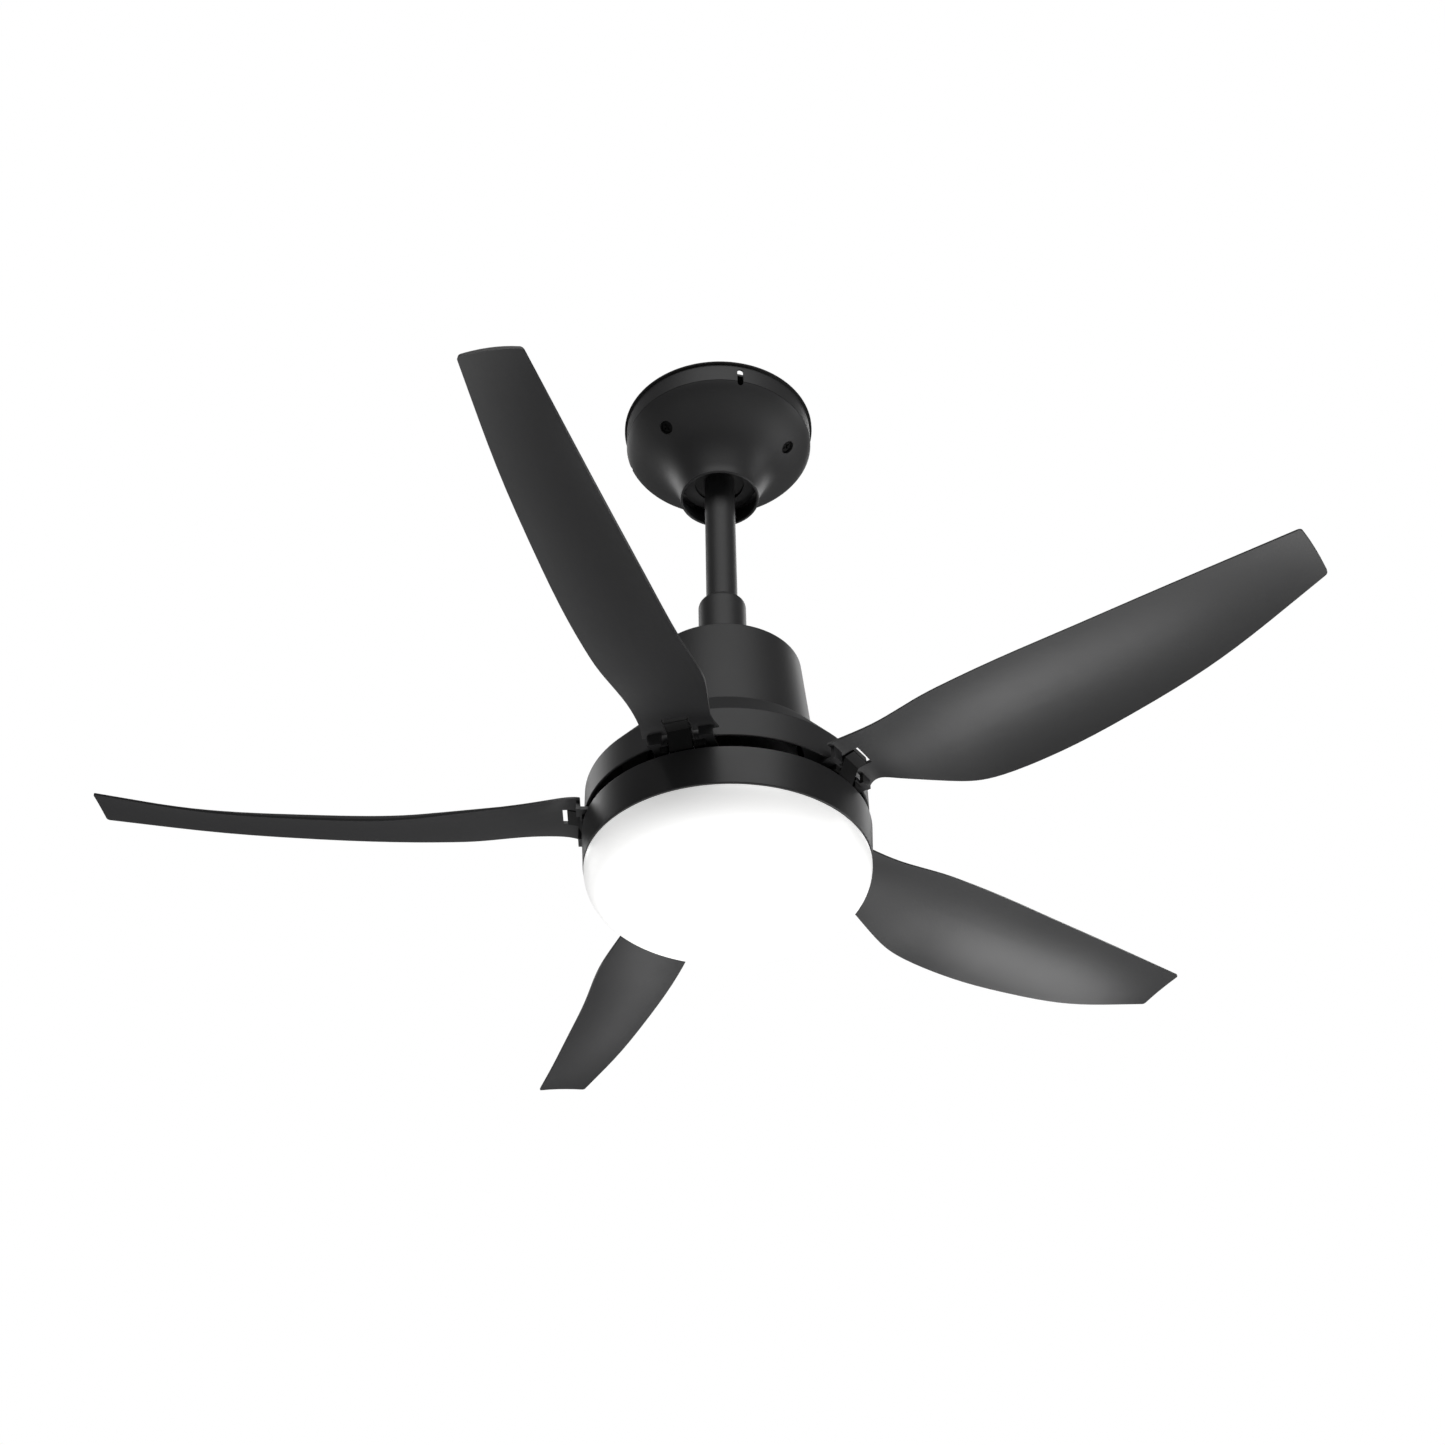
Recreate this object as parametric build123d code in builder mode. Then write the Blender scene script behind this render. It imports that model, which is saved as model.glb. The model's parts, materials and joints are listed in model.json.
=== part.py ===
from build123d import *
import os
from math import cos, hypot, radians, sin

# Five-blade ceiling fan with a light, hung from a swivel ball on a downrod.
# Millimetres, +Z up. The origin is the centre of the hanger bracket's top face,
# which lies on the ceiling, so the whole fan hangs below z = 0.

# ---- Driving dimensions -------------------------------------------------------
SWEEP_RADIUS = 508.0          # blade tips, a 40-inch fan
DROP = 500.0                  # ceiling down to the light ring's lower edge
HUB_RADIUS = 115.5            # skirt and light ring
BLADE_COUNT = 5
FIRST_BLADE_ANGLE = -34.4     # blade 1, degrees from +X
BLADE_PITCH = 360 / BLADE_COUNT
FASTENER_PITCH = 120          # three-screw patterns

RUNNING = 0.05                # radial clearance of a running fit
CLEAR = 0.3                   # gap between faces that slide past each other
SKIN = 0.1                    # gap around a fixed shank or pin

# Ceiling end
FLANGE_RADIUS = 88.4
CANOPY_RADIUS = 86.3
CANOPY_WALL = 1.4
CANOPY_TOP = -2.0             # under the gasket
CANOPY_CREASE = -22.5
CANOPY_MOUTH = -88.0
CANOPY_SLOT_ANGLE = -75.7
CANOPY_SCREW_ANGLE = CANOPY_SLOT_ANGLE + 60
CANOPY_SCREW_POINT = (66.5, -41.2)   # (r, z) where each screw meets the dome
CANOPY_SCREW_TILT = 52.0      # screw axis above the horizontal, degrees
BOX_HOLE_SPACING = 88.9       # outlet-box screws, 3.5 in apart
BOX_HOLE_RADIUS = 2.75
PLATE_RADIUS = 75.0
PLATE_THICK = 2.5

# Swivel
BALL_CENTRE = -48.0
BALL_RADIUS = 29.7
LINER_INNER = BALL_RADIUS + CLEAR
LINER_OUTER = LINER_INNER + 1.2
SEAT_RADIUS = LINER_OUTER + CLEAR

# Downrod and coupling
ROD_RADIUS = 13.8
ROD_BORE = 11.3
ROD_TOP = -30.0
ROD_END = -286.0
PIN_RADIUS = 3.0
YOKE_PIN_Z = -262.0
SET_SCREW_Z = -242.0
YOKE_RADIUS = 16.0
COLLAR_RADIUS = 20.9
COLLAR_TOP = -218.0

# Motor housing
DRUM_TOP = -297.7
DRUM_BASE = -393.0
DRUM_TOP_RADIUS = 66.6
DRUM_BASE_RADIUS = 75.2
SHELL_WALL = 2.0
SHOULDER_RADIUS = 86.6
SKIRT_SHOULDER = -428.5
SKIRT_EDGE = -454.2
COVER_SCREW_RADIUS = 34.0
SKIRT_SCREW_RADIUS = 68.5

# Motor
SHAFT_RADIUS = 10.0
SHAFT_BORE = 6.5
SHAFT_TOP = -290.0
SHAFT_END = -486.0
ROTOR_RADIUS = 60.0
ROTOR_WALL = 2.5
ROTOR_TOP = -372.0
ROTOR_BASE = -458.5
BEARING_RADIUS = 21.0         # 20 x 42 x 12 ball bearing
BEARING_WIDTH = 12.0
TOOTH_COUNT = 12
TOOTH_WIDTH = 5.0
STATOR_RADIUS = 52.0
STATOR_LOW = -440.0
STATOR_HEIGHT = 30.0
MAGNET_COUNT = 14
MAGNET_THICK = 4.0

# Blade carrier and latches
CARRIER_TOP = ROTOR_BASE
CARRIER_THICK = 5.0
CARRIER_RADIUS = 100.0
ARM_REACH = 116.5
ARM_WIDTH = 34.0
ARM_SLOT_START = 98.0
LATCH_WIDTH = 19.0
LATCH_GAP = 0.85              # each side of the latch in the blade's window
LATCH_SHIFT = 1.5             # the latch stands a little to the high side
LATCH_PIN_RADIUS = 1.2
LATCH_PIN_AT = (111.0, -461.7)
STUD_AT = (92.0, 16.0)        # along the arm, to each side
CARRIER_SCREW_RADIUS = 45.0

# Blade
FOOT_THICK = 3.0
BLADE_THICK = 3.0
BLADE_EDGE = 1.8
BLADE_TIP_ROUND = 3.0
ROOT_RADIUS = 118.0
# One row for each section along the blade: distance from the axis, then the
# high edge's and the low edge's side offset and height above the light ring's
# lower edge, then the rise of the hollow underside over its chord.
BLADE_SECTIONS = [
    (ROOT_RADIUS, (32.0, 51.0), (-30.0, 48.0), 1.5),
    (128.0, (29.5, 53.0), (-27.5, 50.0), 2.0),
    (162.0, (30.0, 53.7), (-35.0, 38.0), 5.0),
    (208.0, (37.0, 54.3), (-45.5, 23.5), 7.5),
    (266.0, (39.0, 55.4), (-43.7, 18.0), 8.0),
    (335.0, (36.7, 57.2), (-40.2, 22.5), 7.0),
    (416.0, (31.8, 61.2), (-33.8, 34.7), 4.5),
    (514.0, (21.8, 68.6), (-22.2, 62.0), 1.0),
]

# Light
RING_TOP = -465.9
RING_TOP_RADIUS = 117.1
RING_WALL = 2.2
DIFFUSER_RADIUS = 114.9
DIFFUSER_NECK = 111.5
DIFFUSER_WALL = 1.8
DIFFUSER_CORNER = 29.4
DIFFUSER_GAP = 1.2            # shadow line under the light ring
BOWL_DEPTH = 31.1             # light ring's edge down to the bowl's corner
DIFFUSER_SAG = 5.8
LED_BOARD_Z = -480.6

UP = (Align.CENTER, Align.CENTER, Align.MIN)
DOWN = (Align.CENTER, Align.CENTER, Align.MAX)


# ---- Helpers ------------------------------------------------------------------
def radial_plane(angle):
    """Plane through the axis: local x points outward at angle, local y is up."""
    a = radians(angle)
    return Plane(origin=(0, 0, 0), x_dir=(cos(a), sin(a), 0), z_dir=(sin(a), -cos(a), 0))


def facing_plane(angle, radius, height):
    """Plane that faces outward at angle: local x is along the rim, local y is up."""
    a = radians(angle)
    place = (radius * cos(a), radius * sin(a), height)
    return Plane(origin=place, x_dir=(-sin(a), cos(a), 0), z_dir=(cos(a), sin(a), 0))


def turned(points, rounds=()):
    """Solid turned about Z from a closed (r, z) outline.

    rounds lists pairs: the number of a corner in points and its radius.
    """
    with BuildPart() as body:
        with BuildSketch(Plane.XZ) as outline:
            with BuildLine():
                Polyline(*points, close=True)
            make_face()
            for corner, radius in rounds:
                r, z = points[corner]
                fillet(outline.vertices().sort_by_distance((r, z, 0))[0], radius)
        revolve(axis=Axis.Z)
    return body.part


def tube(inner, outer, low, high):
    """Straight ring about Z, or a plain disc when inner is 0."""
    return turned([(inner, low), (outer, low), (outer, high), (inner, high)])


def inset(points, wall):
    """Points moved inward from an (r, z) curve by the wall, square to the curve."""
    moved = []
    last = len(points) - 1
    for i, (r, z) in enumerate(points):
        before = points[max(i - 1, 0)]
        after = points[min(i + 1, last)]
        dr = after[0] - before[0]
        dz = after[1] - before[1]
        length = hypot(dr, dz)
        moved.append((r + wall * dz / length, z - wall * dr / length))
    return moved


def screw(length, shank, head, head_height):
    """Pan-head screw with its head's underside at z = 0 and its shank downward."""
    with BuildPart() as body:
        Cylinder(shank, length, align=DOWN)
        Cylinder(head, head_height, align=UP)
        fillet(body.edges().group_by(Axis.Z)[-1], head_height * 0.4)
        with BuildSketch(Plane.XY.offset(head_height)):
            Rectangle(head * 1.1, head * 0.26)
            Rectangle(head * 0.26, head * 1.1)
        extrude(amount=-head_height * 0.5, mode=Mode.SUBTRACT)
    return body.part


def save(piece, name):
    """Label a finished piece and write its STEP file."""
    piece.part.label = name
    export_step(piece.part, f"parts/{name}.step")


os.makedirs("parts", exist_ok=True)

# ---- Ceiling end --------------------------------------------------------------
screw_r, screw_z = CANOPY_SCREW_POINT
tilt = radians(CANOPY_SCREW_TILT)
outward = (cos(tilt), -sin(tilt))          # the dome's normal at the screw, in (r, z)
along = (sin(tilt), cos(tilt))             # up the dome's slope


def dome_point(depth, slide):
    """(r, z) at a depth under the dome's surface and a distance up its slope."""
    r = screw_r - depth * outward[0] + slide * along[0]
    z = screw_z - depth * outward[1] + slide * along[1]
    return r, z


def screw_plane(angle, depth):
    """Plane square to a canopy screw, at a depth under the dome's surface."""
    a = radians(angle)
    r, z = dome_point(depth, 0)
    normal = (outward[0] * cos(a), outward[0] * sin(a), outward[1])
    return Plane(origin=(r * cos(a), r * sin(a), z), x_dir=(-sin(a), cos(a), 0), z_dir=normal)


screw_angles = [CANOPY_SCREW_ANGLE + FASTENER_PITCH * k for k in range(3)]
slot_angles = [CANOPY_SLOT_ANGLE + FASTENER_PITCH * k for k in range(3)]
foot_depth = 6.0
foot_thick = 2.5
pocket_radius = 6.3
pocket_depth = 4.6
pocket_wall = 1.6
pocket_floor = 1.2
slot_width = 5.6
slot_length = 19.0
slot_middle = -16.0

# Hanger bracket: ceiling plate, cradle for the swivel ball, three canopy feet.
with BuildPart() as hanger_bracket:
    with BuildSketch():
        Circle(PLATE_RADIUS)
        Circle(12, mode=Mode.SUBTRACT)
        with Locations((-BOX_HOLE_SPACING / 2, 0), (BOX_HOLE_SPACING / 2, 0)):
            Circle(BOX_HOLE_RADIUS, mode=Mode.SUBTRACT)
        with Locations((0, -44)):
            Circle(2.0 + SKIN, mode=Mode.SUBTRACT)
    extrude(amount=-PLATE_THICK)
    with Locations((-37, 0, 0), (37, 0, 0)):
        Box(2.5, 22, 60, align=DOWN)
    add(turned([(18, -57), (38.2, -57), (38.2, -62), (34, -70), (18, -70)]))
    with Locations((0, 0, BALL_CENTRE)):
        Sphere(SEAT_RADIUS, mode=Mode.SUBTRACT)
    for angle in screw_angles:
        with BuildSketch(radial_plane(angle)):
            with BuildLine():
                Polyline((56.5, -1), (59, -1), (59, -36.5), (56.5, -38.4), close=True)
            make_face()
            with BuildLine():
                Polyline(
                    dome_point(foot_depth, -7),
                    dome_point(foot_depth, 6),
                    dome_point(foot_depth + foot_thick, 6),
                    dome_point(foot_depth + foot_thick, -7),
                    close=True,
                )
            make_face()
        extrude(amount=7, both=True)
        with BuildSketch(screw_plane(angle, foot_depth - 1)):
            Circle(2.0 + SKIN)
        extrude(amount=-6, mode=Mode.SUBTRACT)
save(hanger_bracket, "hanger_bracket")

# Canopy: short side wall, shallow dome and a hollow neck with a rolled mouth.
dome = [
    (CANOPY_RADIUS, CANOPY_CREASE),
    (79.5, -31.0),
    (65.5, -42.0),
    (51.5, -54.0),
    (42.8, -67.0),
    (37.8, -79.0),
    (35.7, CANOPY_MOUTH),
]
dome_inside = inset(dome, CANOPY_WALL)
wall_inside = CANOPY_RADIUS - CANOPY_WALL
with BuildPart() as canopy:
    with BuildSketch(Plane.XZ):
        with BuildLine():
            Spline(*dome, tangents=[(-0.45, -0.9), (-0.12, -1)])
            Line(dome[-1], (dome_inside[-1][0], CANOPY_MOUTH))
            Spline(
                (dome_inside[-1][0], CANOPY_MOUTH),
                *reversed(dome_inside[1:-1]),
                (wall_inside, CANOPY_CREASE),
                tangents=[(0.12, 1), (0.45, 0.9)],
            )
            Polyline(
                (wall_inside, CANOPY_CREASE),
                (wall_inside, CANOPY_TOP),
                (CANOPY_RADIUS, CANOPY_TOP),
                (CANOPY_RADIUS, CANOPY_CREASE),
            )
        make_face()
        with Locations((dome[-1][0] - 0.6, CANOPY_MOUTH)):
            Circle(1.3)
    revolve(axis=Axis.Z)
    groove = tube(CANOPY_RADIUS - 0.5, CANOPY_RADIUS + 1, CANOPY_CREASE, CANOPY_CREASE + 0.6)
    add(groove, mode=Mode.SUBTRACT)
    for angle in screw_angles:
        with BuildSketch(screw_plane(angle, 0.4)):
            Circle(pocket_radius + pocket_wall)
        extrude(amount=-(pocket_depth + pocket_floor - 0.4))
        with BuildSketch(screw_plane(angle, -4)):
            Circle(pocket_radius)
        extrude(amount=-(pocket_depth + 4), mode=Mode.SUBTRACT)
        with BuildSketch(screw_plane(angle, 0)):
            Circle(2.0 + SKIN)
        extrude(amount=-8, mode=Mode.SUBTRACT)
    for angle in slot_angles:
        with BuildSketch(facing_plane(angle, CANOPY_RADIUS, slot_middle)):
            SlotOverall(slot_length, slot_width, rotation=90)
        extrude(amount=6, both=True, mode=Mode.SUBTRACT)
save(canopy, "canopy")

# Foam gasket between the canopy's edge and the ceiling.
with BuildPart() as canopy_gasket:
    add(tube(CANOPY_RADIUS - 4, FLANGE_RADIUS, CANOPY_TOP, 0))
save(canopy_gasket, "canopy_gasket")

# Three canopy screws, sunk in the dome's pockets and threaded in the feet.
with BuildPart() as canopy_screws:
    for angle in screw_angles:
        with Locations(Location(screw_plane(angle, pocket_depth))):
            add(screw(4.6, 2.0, pocket_radius - 0.4, 2.2))
save(canopy_screws, "canopy_screws")

# Mains terminal block under the bracket plate.
with BuildPart() as terminal_block:
    with Locations((0, 42, -PLATE_THICK)):
        Box(30, 14, 12, align=DOWN)
    fillet(terminal_block.edges().filter_by(Axis.Z), 1.5)
    with Locations(*[(x, 42, -PLATE_THICK - 12) for x in (-9, 0, 9)]):
        Cylinder(2.4, 4, align=UP, mode=Mode.SUBTRACT)
save(terminal_block, "terminal_block")

# Remote-control receiver, slid in between the plate and the ball.
with BuildPart() as receiver_box:
    with Locations((0, 0, -3)):
        Box(68, 44, 17, align=DOWN)
    fillet(receiver_box.edges().filter_by(Axis.Z), 3)
save(receiver_box, "receiver_box")

# Earthing screw in the bracket plate.
with BuildPart() as earth_screw:
    with Locations(Location((0, -44, -PLATE_THICK), (180, 0, 0))):
        add(screw(PLATE_THICK, 2.0, 4.0, 2.4))
save(earth_screw, "earth_screw")

# ---- Swivel -------------------------------------------------------------------
# Nylon liner, free to turn in the cradle under the ball.
with BuildPart() as ball_liner:
    with Locations((0, 0, BALL_CENTRE)):
        Sphere(LINER_OUTER)
        Sphere(LINER_INNER, mode=Mode.SUBTRACT)
    split(bisect_by=Plane.XY.offset(BALL_CENTRE - 7), keep=Keep.BOTTOM)
    split(bisect_by=Plane.XY.offset(BALL_CENTRE - 19.5), keep=Keep.TOP)
save(ball_liner, "ball_liner")

# Hanger ball, cut flat above and below and bored for the rod and its pin.
with BuildPart() as hanger_ball:
    with Locations((0, 0, BALL_CENTRE)):
        Sphere(BALL_RADIUS)
        Cylinder(ROD_RADIUS + SKIN, 2 * BALL_RADIUS, mode=Mode.SUBTRACT)
    split(bisect_by=Plane.XY.offset(BALL_CENTRE + 12), keep=Keep.BOTTOM)
    split(bisect_by=Plane.XY.offset(BALL_CENTRE - 19.5), keep=Keep.TOP)
    with Locations(Location((0, 0, BALL_CENTRE), (0, 90, 0))):
        Cylinder(PIN_RADIUS + SKIN, 2.2 * BALL_RADIUS, mode=Mode.SUBTRACT)
save(hanger_ball, "hanger_ball")

with BuildPart() as ball_pin:
    with Locations(Location((0, 0, BALL_CENTRE), (0, 90, 0))):
        Cylinder(PIN_RADIUS, 56)
    chamfer(ball_pin.edges().filter_by(GeomType.CIRCLE), 0.6)
save(ball_pin, "ball_pin")

# ---- Downrod and coupling -----------------------------------------------------
with BuildPart() as downrod:
    add(tube(ROD_BORE, ROD_RADIUS, ROD_END, ROD_TOP))
    for height in (BALL_CENTRE, YOKE_PIN_Z):
        with Locations(Location((0, 0, height), (0, 90, 0))):
            Cylinder(PIN_RADIUS + SKIN, 4 * ROD_RADIUS, mode=Mode.SUBTRACT)
save(downrod, "downrod")

# Cover over the coupling, with a rounded top edge.
collar_round = 6.4
with BuildPart() as coupling_cover:
    add(tube(0, COLLAR_RADIUS, DRUM_TOP, COLLAR_TOP))
    fillet(coupling_cover.edges().group_by(Axis.Z)[-1], collar_round)
    with Locations((0, 0, DRUM_TOP)):
        Cylinder(COLLAR_RADIUS - 1.5, COLLAR_TOP - DRUM_TOP - 6.6, align=UP, mode=Mode.SUBTRACT)
        Cylinder(ROD_RADIUS + 0.4, COLLAR_TOP - DRUM_TOP, align=UP, mode=Mode.SUBTRACT)
save(coupling_cover, "coupling_cover")

# Cast yoke: sleeve for the rod, flange under the drum's top, bore for the shaft.
YOKE_TOP = -232.0
yoke_flange_top = DRUM_TOP - 2.5
yoke_flange_low = yoke_flange_top - 6.5
cover_screw_angles = [30 + FASTENER_PITCH * k for k in range(3)]
standoff_angles = [90 + FASTENER_PITCH * k for k in range(3)]
with BuildPart() as yoke:
    add(
        turned(
            [
                (SHAFT_RADIUS + SKIN, yoke_flange_low),
                (45, yoke_flange_low),
                (45, yoke_flange_top),
                (YOKE_RADIUS, yoke_flange_top),
                (YOKE_RADIUS, YOKE_TOP),
                (ROD_RADIUS + SKIN, YOKE_TOP),
                (ROD_RADIUS + SKIN, ROD_END - 1),
                (SHAFT_RADIUS + SKIN, ROD_END - 1),
            ]
        )
    )
    with Locations(Location((0, 0, YOKE_PIN_Z), (0, 90, 0))):
        Cylinder(PIN_RADIUS + SKIN, 4 * YOKE_RADIUS, mode=Mode.SUBTRACT)
    with Locations(Location((0, 0, SET_SCREW_Z), (90, 0, 0))):
        Cylinder(2.5 + SKIN, 4 * YOKE_RADIUS, mode=Mode.SUBTRACT)
    with Locations((0, 0, yoke_flange_low)):
        with PolarLocations(COVER_SCREW_RADIUS, 3, start_angle=cover_screw_angles[0]):
            Cylinder(2 + SKIN, 8, align=UP, mode=Mode.SUBTRACT)
save(yoke, "yoke")

with BuildPart() as yoke_pin:
    with Locations(Location((-18.2, 0, YOKE_PIN_Z), (0, 90, 0))):
        Cylinder(4.2, 1.6, align=UP)
        Cylinder(PIN_RADIUS, 36.6, align=UP)
save(yoke_pin, "yoke_pin")

with BuildPart() as yoke_pin_clip:
    with Locations(Location((16.8, 0, YOKE_PIN_Z), (0, 90, 0))):
        Cylinder(4.6, 1.0, align=UP)
        Cylinder(PIN_RADIUS + RUNNING, 1.0, align=UP, mode=Mode.SUBTRACT)
        with Locations((0, 4, 0)):
            Box(3.4, 5, 1.0, align=UP, mode=Mode.SUBTRACT)
save(yoke_pin_clip, "yoke_pin_clip")

# Two set screws that pinch the rod in the yoke.
with BuildPart() as yoke_set_screws:
    for turn in (90, -90):
        with Locations(Location((0, 0, SET_SCREW_Z), (turn, 0, 0))):
            with Locations((0, 0, ROD_RADIUS + SKIN)):
                Cylinder(2.5, 4.6, align=UP)
save(yoke_set_screws, "yoke_set_screws")

# ---- Motor housing ------------------------------------------------------------
# Drum over the motor, with an inward foot that stands on the skirt.
housing_bore = 65.5
with BuildPart() as motor_cover:
    top_in = DRUM_TOP - 2.5
    add(
        turned(
            [
                (YOKE_RADIUS + 0.5, DRUM_TOP),
                (DRUM_TOP_RADIUS - 0.1, DRUM_TOP),
                (DRUM_BASE_RADIUS, DRUM_BASE),
                (housing_bore, DRUM_BASE),
                (housing_bore, DRUM_BASE + SHELL_WALL),
                (DRUM_BASE_RADIUS - SHELL_WALL - 0.2, DRUM_BASE + SHELL_WALL),
                (DRUM_TOP_RADIUS - SHELL_WALL, top_in),
                (YOKE_RADIUS + 0.5, top_in),
            ],
            rounds=[(1, 1.6), (2, 0.5)],
        )
    )
    with Locations((0, 0, top_in)):
        with PolarLocations(COVER_SCREW_RADIUS, 3, start_angle=cover_screw_angles[0]):
            Cylinder(2 + SKIN, 3, align=UP, mode=Mode.SUBTRACT)
    with Locations((0, 0, DRUM_BASE)):
        with PolarLocations(SKIRT_SCREW_RADIUS, 3):
            Cylinder(1.6 + SKIN, SHELL_WALL, align=UP, mode=Mode.SUBTRACT)
save(motor_cover, "motor_cover")

# Skirt: sloped shoulder and short wall that hides the blade carrier.
with BuildPart() as housing_skirt:
    inner_wall = HUB_RADIUS - SHELL_WALL
    add(
        turned(
            [
                (housing_bore, DRUM_BASE),
                (SHOULDER_RADIUS, DRUM_BASE),
                (HUB_RADIUS, SKIRT_SHOULDER + 0.8),
                (HUB_RADIUS, SKIRT_EDGE),
                (inner_wall, SKIRT_EDGE),
                (inner_wall, SKIRT_SHOULDER - 0.6),
                (SHOULDER_RADIUS - 0.8, DRUM_BASE - SHELL_WALL),
                (housing_bore, DRUM_BASE - SHELL_WALL),
            ],
            rounds=[(1, 1.5), (2, 2.2), (3, 0.6), (4, 0.6)],
        )
    )
    with Locations((0, 0, DRUM_BASE)):
        with PolarLocations(SKIRT_SCREW_RADIUS, 3):
            Cylinder(1.6 + SKIN, SHELL_WALL, align=DOWN, mode=Mode.SUBTRACT)
save(housing_skirt, "housing_skirt")

with BuildPart() as cover_screws:
    with Locations((0, 0, DRUM_TOP)):
        with PolarLocations(COVER_SCREW_RADIUS, 3, start_angle=cover_screw_angles[0]):
            add(screw(8.5, 2.0, 3.8, 2.2))
save(cover_screws, "cover_screws")

with BuildPart() as skirt_screws:
    with Locations(Location((0, 0, DRUM_BASE - SHELL_WALL), (180, 0, 0))):
        with PolarLocations(SKIRT_SCREW_RADIUS, 3):
            add(screw(2 * SHELL_WALL, 1.6, 2.8, 1.8))
save(skirt_screws, "skirt_screws")

# ---- Motor --------------------------------------------------------------------
# Hollow shaft, fixed in the yoke; the rotor turns on it and it carries the light.
with BuildPart() as motor_shaft:
    add(tube(SHAFT_BORE, SHAFT_RADIUS, SHAFT_END, SHAFT_TOP))
save(motor_shaft, "motor_shaft")

tooth_pitch = 360 / TOOTH_COUNT
stator_middle = STATOR_LOW + STATOR_HEIGHT / 2
with BuildPart() as stator_core:
    with BuildSketch(Plane.XY.offset(STATOR_LOW)):
        Circle(22)
        with PolarLocations(0, TOOTH_COUNT):
            with Locations((33, 0)):
                Rectangle(28, TOOTH_WIDTH)
        shoe_outer = STATOR_RADIUS
        shoe_inner = 46.5
        with BuildSketch(mode=Mode.PRIVATE) as shoes:
            Circle(shoe_outer)
            Circle(shoe_inner, mode=Mode.SUBTRACT)
            with PolarLocations(49, TOOTH_COUNT, start_angle=tooth_pitch / 2):
                Rectangle(12, 4, mode=Mode.SUBTRACT)
        add(shoes.sketch)
        Circle(SHAFT_RADIUS + RUNNING, mode=Mode.SUBTRACT)
    extrude(amount=STATOR_HEIGHT)
save(stator_core, "stator_core")

coil_wall = 2.6
with BuildPart() as stator_windings:
    with Locations((0, 0, stator_middle)):
        with PolarLocations(35, TOOTH_COUNT):
            Box(20, TOOTH_WIDTH + 2 * coil_wall, STATOR_HEIGHT + 2 * coil_wall)
            Box(22, TOOTH_WIDTH + 2 * SKIN, STATOR_HEIGHT + 2 * SKIN, mode=Mode.SUBTRACT)
save(stator_windings, "stator_windings")

# Rotor: bell, base, magnets and the two bearings.
boss_radius = BEARING_RADIUS + 4
upper_bearing_low = ROTOR_TOP - BEARING_WIDTH - 2
lower_bearing_low = ROTOR_BASE + 1
with BuildPart() as rotor_shell:
    add(
        turned(
            [
                (SHAFT_RADIUS + 2, ROTOR_TOP),
                (ROTOR_RADIUS - 2, ROTOR_TOP),
                (ROTOR_RADIUS, ROTOR_TOP - 2),
                (ROTOR_RADIUS, ROTOR_BASE + 4),
                (ROTOR_RADIUS - ROTOR_WALL, ROTOR_BASE + 4),
                (ROTOR_RADIUS - ROTOR_WALL, ROTOR_TOP - 3),
                (boss_radius, ROTOR_TOP - 3),
                (boss_radius, upper_bearing_low),
                (BEARING_RADIUS, upper_bearing_low),
                (BEARING_RADIUS, ROTOR_TOP - 2),
                (SHAFT_RADIUS + 2, ROTOR_TOP - 2),
            ]
        )
    )
    with Locations((0, 0, ROTOR_TOP)):
        with PolarLocations(40, 10):
            Cylinder(5, 5, align=DOWN, mode=Mode.SUBTRACT)
save(rotor_shell, "rotor_shell")

with BuildPart() as rotor_base:
    add(
        turned(
            [
                (SHAFT_RADIUS + 2, ROTOR_BASE),
                (ROTOR_RADIUS, ROTOR_BASE),
                (ROTOR_RADIUS, ROTOR_BASE + 4),
                (boss_radius, ROTOR_BASE + 4),
                (boss_radius, lower_bearing_low + BEARING_WIDTH),
                (BEARING_RADIUS, lower_bearing_low + BEARING_WIDTH),
                (BEARING_RADIUS, lower_bearing_low),
                (SHAFT_RADIUS + 2, lower_bearing_low),
            ]
        )
    )
    with Locations((0, 0, ROTOR_BASE)):
        with PolarLocations(CARRIER_SCREW_RADIUS, BLADE_COUNT):
            Cylinder(2 + SKIN, 4, align=UP, mode=Mode.SUBTRACT)
save(rotor_base, "rotor_base")

magnet_outer = ROTOR_RADIUS - ROTOR_WALL
with BuildPart() as rotor_magnets:
    with BuildSketch(Plane.XY.offset(STATOR_LOW - 2)):
        Circle(magnet_outer)
        Circle(magnet_outer - MAGNET_THICK, mode=Mode.SUBTRACT)
        with PolarLocations(magnet_outer - MAGNET_THICK / 2, MAGNET_COUNT):
            Rectangle(3 * MAGNET_THICK, 1.6, mode=Mode.SUBTRACT)
    extrude(amount=STATOR_HEIGHT + 4)
save(rotor_magnets, "rotor_magnets")


def bearing(low):
    """Sealed ball bearing as one ring with its shield grooves."""
    high = low + BEARING_WIDTH
    bore = SHAFT_RADIUS + RUNNING
    with BuildPart() as body:
        add(tube(bore, BEARING_RADIUS, low, high))
        add(tube(13.2, 18, low, low + 0.8), mode=Mode.SUBTRACT)
        add(tube(13.2, 18, high - 0.8, high), mode=Mode.SUBTRACT)
    return body


upper_bearing = bearing(upper_bearing_low)
save(upper_bearing, "upper_bearing")
lower_bearing = bearing(lower_bearing_low)
save(lower_bearing, "lower_bearing")

# Motor control board on three standoffs under the yoke's flange.
board_top = yoke_flange_low - 30
with BuildPart() as board_standoffs:
    with Locations((0, 0, yoke_flange_low)):
        with PolarLocations(38, 3, start_angle=standoff_angles[0]):
            Cylinder(3, 30, align=DOWN)
save(board_standoffs, "board_standoffs")

with BuildPart() as control_board:
    add(tube(13, 50, board_top - 1.6, board_top))
save(control_board, "control_board")

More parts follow.
